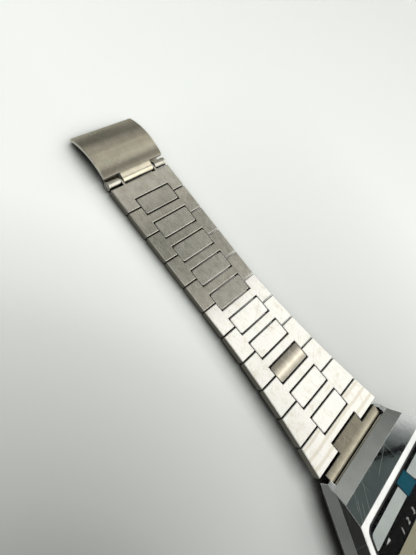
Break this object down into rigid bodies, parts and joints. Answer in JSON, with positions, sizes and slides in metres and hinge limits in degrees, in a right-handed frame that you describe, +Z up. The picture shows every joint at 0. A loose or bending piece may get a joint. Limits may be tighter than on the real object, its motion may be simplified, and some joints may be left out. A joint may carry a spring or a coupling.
{
  "type": "digital wristwatch",
  "caption": "Digital wristwatch with a faceted steel case, side pushers and a tapering folded-link bracelet that ends in a flip-over ladder clasp.",
  "frame": {"origin": "centre of the case back's flat resting face", "axes": "+Z up out of the crystal, +Y from the case towards the 12 o'clock side of the bracelet and the clasp, +X towards 3 o'clock"},
  "size_m": [0.0348, 0.1745, 0.0083],
  "materials": {
    "bracelet_steel": "fine brushed along the bracelet, worn",
    "centre_steel": "satin with fine scratches",
    "clasp_steel": "brushed along its length, edges polished",
    "pin_steel": "turned",
    "case_steel": "polished with fine wear scratches",
    "back_steel": "plain satin, bare",
    "seal_rubber": "matt black",
    "crystal_glass": "clear polished",
    "mask_print": "black print with silver-grey panels",
    "lcd_glass": "khaki reflective panel",
    "reflector_sheet": "white diffuser",
    "zebra_rubber": "layered contact strip",
    "board_laminate": "green laminate",
    "module_plastic": "moulded black",
    "holder_plastic": "moulded ivory",
    "quartz_metal": "drawn can",
    "cell_steel": "plated, bare",
    "spring_steel": "drawn wire",
    "pusher_steel": "polished",
    "lamp_lens": "clear lens",
    "buzzer_brass": "plain disc"
  },
  "bodies": {
    "case": {"case_body": "case_steel", "case_back": "back_steel", "back_gasket": "seal_rubber", "back_screws": "pin_steel", "crystal": "crystal_glass", "crystal_gasket": "seal_rubber", "dial_mask": "mask_print", "lcd_panel": "lcd_glass", "reflector": "reflector_sheet", "zebra_connectors": "zebra_rubber", "circuit_board": "board_laminate", "module_frame": "module_plastic", "battery_holder": "holder_plastic", "quartz_can": "quartz_metal", "battery": "cell_steel", "battery_clip": "spring_steel", "lamp": "lamp_lens", "buzzer": "buzzer_brass", "upper_end_piece": "clasp_steel", "lower_end_piece": "clasp_steel", "spring_bars": "pin_steel", "light_spring": "spring_steel", "mode_spring": "spring_steel", "set_spring": "spring_steel"},
    "upper_link_01": {"upper_link_01": "bracelet_steel"},
    "upper_centre_link_01": {"upper_centre_link_01": "centre_steel"},
    "upper_link_02": {"upper_link_02": "bracelet_steel"},
    "upper_centre_link_02": {"upper_centre_link_02": "centre_steel"},
    "upper_link_03": {"upper_link_03": "bracelet_steel"},
    "upper_centre_link_03": {"upper_centre_link_03": "centre_steel"},
    "upper_link_04": {"upper_link_04": "bracelet_steel"},
    "upper_centre_link_04": {"upper_centre_link_04": "centre_steel"},
    "upper_link_05": {"upper_link_05": "bracelet_steel"},
    "upper_centre_link_05": {"upper_centre_link_05": "centre_steel"},
    "upper_link_06": {"upper_link_06": "bracelet_steel"},
    "upper_centre_link_06": {"upper_centre_link_06": "centre_steel"},
    "upper_link_07": {"upper_link_07": "bracelet_steel"},
    "upper_centre_link_07": {"upper_centre_link_07": "centre_steel"},
    "upper_link_08": {"upper_link_08": "bracelet_steel"},
    "upper_centre_link_08": {"upper_centre_link_08": "centre_steel"},
    "upper_link_09": {"upper_link_09": "bracelet_steel"},
    "upper_centre_link_09": {"upper_centre_link_09": "centre_steel"},
    "upper_link_10": {"upper_link_10": "bracelet_steel"},
    "upper_centre_link_10": {"upper_centre_link_10": "centre_steel"},
    "upper_link_11": {"upper_link_11": "bracelet_steel", "clasp_pin": "pin_steel"},
    "clasp_blade": {"clasp_blade": "clasp_steel"},
    "clasp_cover": {"clasp_cover": "clasp_steel"},
    "lower_link_01": {"lower_link_01": "bracelet_steel"},
    "lower_centre_link_01": {"lower_centre_link_01": "centre_steel"},
    "lower_link_02": {"lower_link_02": "bracelet_steel"},
    "lower_centre_link_02": {"lower_centre_link_02": "centre_steel"},
    "lower_link_03": {"lower_link_03": "bracelet_steel"},
    "lower_centre_link_03": {"lower_centre_link_03": "centre_steel"},
    "lower_link_04": {"lower_link_04": "bracelet_steel"},
    "lower_centre_link_04": {"lower_centre_link_04": "centre_steel"},
    "ladder_end": {"ladder_end": "bracelet_steel"},
    "light_pusher": {"light_pusher": "pusher_steel"},
    "mode_pusher": {"mode_pusher": "pusher_steel"},
    "set_pusher": {"set_pusher": "pusher_steel"}
  },
  "joints": [
    {"name": "upper_pivot_01", "type": "hinge", "parent": "case", "child": "upper_link_01", "pos_m": [0, 0.0204, 0.00288], "axis": [-1, 0, 0], "range_deg": [-3, 10]},
    {"name": "upper_pivot_02", "type": "hinge", "parent": "upper_link_01", "child": "upper_centre_link_01", "pos_m": [0, 0.02439, 0.00264], "axis": [-1, 0, 0], "range_deg": [-3, 10]},
    {"name": "upper_pivot_03", "type": "hinge", "parent": "upper_centre_link_01", "child": "upper_link_02", "pos_m": [0, 0.02639, 0.00252], "axis": [-1, 0, 0], "range_deg": [-3, 10]},
    {"name": "upper_pivot_04", "type": "hinge", "parent": "upper_link_02", "child": "upper_centre_link_02", "pos_m": [0, 0.03038, 0.00228], "axis": [-1, 0, 0], "range_deg": [-3, 10]},
    {"name": "upper_pivot_05", "type": "hinge", "parent": "upper_centre_link_02", "child": "upper_link_03", "pos_m": [0, 0.03238, 0.00216], "axis": [-1, 0, 0], "range_deg": [-3, 10]},
    {"name": "upper_pivot_06", "type": "hinge", "parent": "upper_link_03", "child": "upper_centre_link_03", "pos_m": [0, 0.03637, 0.00193], "axis": [-1, 0, 0], "range_deg": [-3, 10]},
    {"name": "upper_pivot_07", "type": "hinge", "parent": "upper_centre_link_03", "child": "upper_link_04", "pos_m": [0, 0.03837, 0.00181], "axis": [-1, 0, 0], "range_deg": [-3, 10]},
    {"name": "upper_pivot_08", "type": "hinge", "parent": "upper_link_04", "child": "upper_centre_link_04", "pos_m": [0, 0.04236, 0.00157], "axis": [-1, 0, 0], "range_deg": [-3, 10]},
    {"name": "upper_pivot_09", "type": "hinge", "parent": "upper_centre_link_04", "child": "upper_link_05", "pos_m": [0, 0.04436, 0.00145], "axis": [-1, 0, 0], "range_deg": [-3, 10]},
    {"name": "upper_pivot_10", "type": "hinge", "parent": "upper_link_05", "child": "upper_centre_link_05", "pos_m": [0, 0.04835, 0.00122], "axis": [-1, 0, 0], "range_deg": [-3, 10]},
    {"name": "upper_pivot_11", "type": "hinge", "parent": "upper_centre_link_05", "child": "upper_link_06", "pos_m": [0, 0.05035, 0.0011], "axis": [-1, 0, 0], "range_deg": [-3, 10]},
    {"name": "upper_pivot_12", "type": "hinge", "parent": "upper_link_06", "child": "upper_centre_link_06", "pos_m": [0, 0.05434, 0.00086], "axis": [-1, 0, 0], "range_deg": [-3, 10]},
    {"name": "upper_pivot_13", "type": "hinge", "parent": "upper_centre_link_06", "child": "upper_link_07", "pos_m": [0, 0.05634, 0.0008], "axis": [-1, 0, 0], "range_deg": [-3, 10]},
    {"name": "upper_pivot_14", "type": "hinge", "parent": "upper_link_07", "child": "upper_centre_link_07", "pos_m": [0, 0.06034, 0.0008], "axis": [-1, 0, 0], "range_deg": [-3, 10]},
    {"name": "upper_pivot_15", "type": "hinge", "parent": "upper_centre_link_07", "child": "upper_link_08", "pos_m": [0, 0.06234, 0.0008], "axis": [-1, 0, 0], "range_deg": [-3, 10]},
    {"name": "upper_pivot_16", "type": "hinge", "parent": "upper_link_08", "child": "upper_centre_link_08", "pos_m": [0, 0.06634, 0.0008], "axis": [-1, 0, 0], "range_deg": [-3, 10]},
    {"name": "upper_pivot_17", "type": "hinge", "parent": "upper_centre_link_08", "child": "upper_link_09", "pos_m": [0, 0.06834, 0.0008], "axis": [-1, 0, 0], "range_deg": [-3, 10]},
    {"name": "upper_pivot_18", "type": "hinge", "parent": "upper_link_09", "child": "upper_centre_link_09", "pos_m": [0, 0.07234, 0.0008], "axis": [-1, 0, 0], "range_deg": [-3, 10]},
    {"name": "upper_pivot_19", "type": "hinge", "parent": "upper_centre_link_09", "child": "upper_link_10", "pos_m": [0, 0.07434, 0.0008], "axis": [-1, 0, 0], "range_deg": [-3, 10]},
    {"name": "upper_pivot_20", "type": "hinge", "parent": "upper_link_10", "child": "upper_centre_link_10", "pos_m": [0, 0.07834, 0.0008], "axis": [-1, 0, 0], "range_deg": [-3, 10]},
    {"name": "upper_pivot_21", "type": "hinge", "parent": "upper_centre_link_10", "child": "upper_link_11", "pos_m": [0, 0.08034, 0.0008], "axis": [-1, 0, 0], "range_deg": [-3, 10]},
    {"name": "clasp_blade_hinge", "type": "hinge", "parent": "upper_link_11", "child": "clasp_blade", "pos_m": [0, 0.08629, 0.001], "axis": [-1, 0, 0], "range_deg": [-45, 45]},
    {"name": "clasp_cover_hinge", "type": "hinge", "parent": "clasp_blade", "child": "clasp_cover", "pos_m": [0, 0.08629, 0.001], "axis": [1, 0, 0], "range_deg": [0, 90]},
    {"name": "lower_pivot_01", "type": "hinge", "parent": "case", "child": "lower_link_01", "pos_m": [0, -0.0204, 0.00288], "axis": [1, 0, 0], "range_deg": [-3, 10]},
    {"name": "lower_pivot_02", "type": "hinge", "parent": "lower_link_01", "child": "lower_centre_link_01", "pos_m": [0, -0.02438, 0.00251], "axis": [1, 0, 0], "range_deg": [-3, 10]},
    {"name": "lower_pivot_03", "type": "hinge", "parent": "lower_centre_link_01", "child": "lower_link_02", "pos_m": [0, -0.02638, 0.00233], "axis": [1, 0, 0], "range_deg": [-3, 10]},
    {"name": "lower_pivot_04", "type": "hinge", "parent": "lower_link_02", "child": "lower_centre_link_02", "pos_m": [0, -0.03036, 0.00197], "axis": [1, 0, 0], "range_deg": [-3, 10]},
    {"name": "lower_pivot_05", "type": "hinge", "parent": "lower_centre_link_02", "child": "lower_link_03", "pos_m": [0, -0.03235, 0.00179], "axis": [1, 0, 0], "range_deg": [-3, 10]},
    {"name": "lower_pivot_06", "type": "hinge", "parent": "lower_link_03", "child": "lower_centre_link_03", "pos_m": [0, -0.03633, 0.00143], "axis": [1, 0, 0], "range_deg": [-3, 10]},
    {"name": "lower_pivot_07", "type": "hinge", "parent": "lower_centre_link_03", "child": "lower_link_04", "pos_m": [0, -0.03833, 0.00125], "axis": [1, 0, 0], "range_deg": [-3, 10]},
    {"name": "lower_pivot_08", "type": "hinge", "parent": "lower_link_04", "child": "lower_centre_link_04", "pos_m": [0, -0.04231, 0.00089], "axis": [1, 0, 0], "range_deg": [-3, 10]},
    {"name": "lower_pivot_09", "type": "hinge", "parent": "lower_centre_link_04", "child": "ladder_end", "pos_m": [0, -0.04431, 0.0008], "axis": [1, 0, 0], "range_deg": [-3, 10]},
    {"name": "light_press", "type": "slide", "parent": "case", "child": "light_pusher", "axis": [1, 0, 0], "range_m": [0, 0.0007], "stiffness_N_per_m": 1500, "deforming": ["light_spring"]},
    {"name": "mode_press", "type": "slide", "parent": "case", "child": "mode_pusher", "axis": [1, 0, 0], "range_m": [0, 0.0007], "stiffness_N_per_m": 1500, "deforming": ["mode_spring"]},
    {"name": "set_press", "type": "slide", "parent": "case", "child": "set_pusher", "axis": [-1, 0, 0], "range_m": [0, 0.0007], "stiffness_N_per_m": 1500, "deforming": ["set_spring"]}
  ]
}
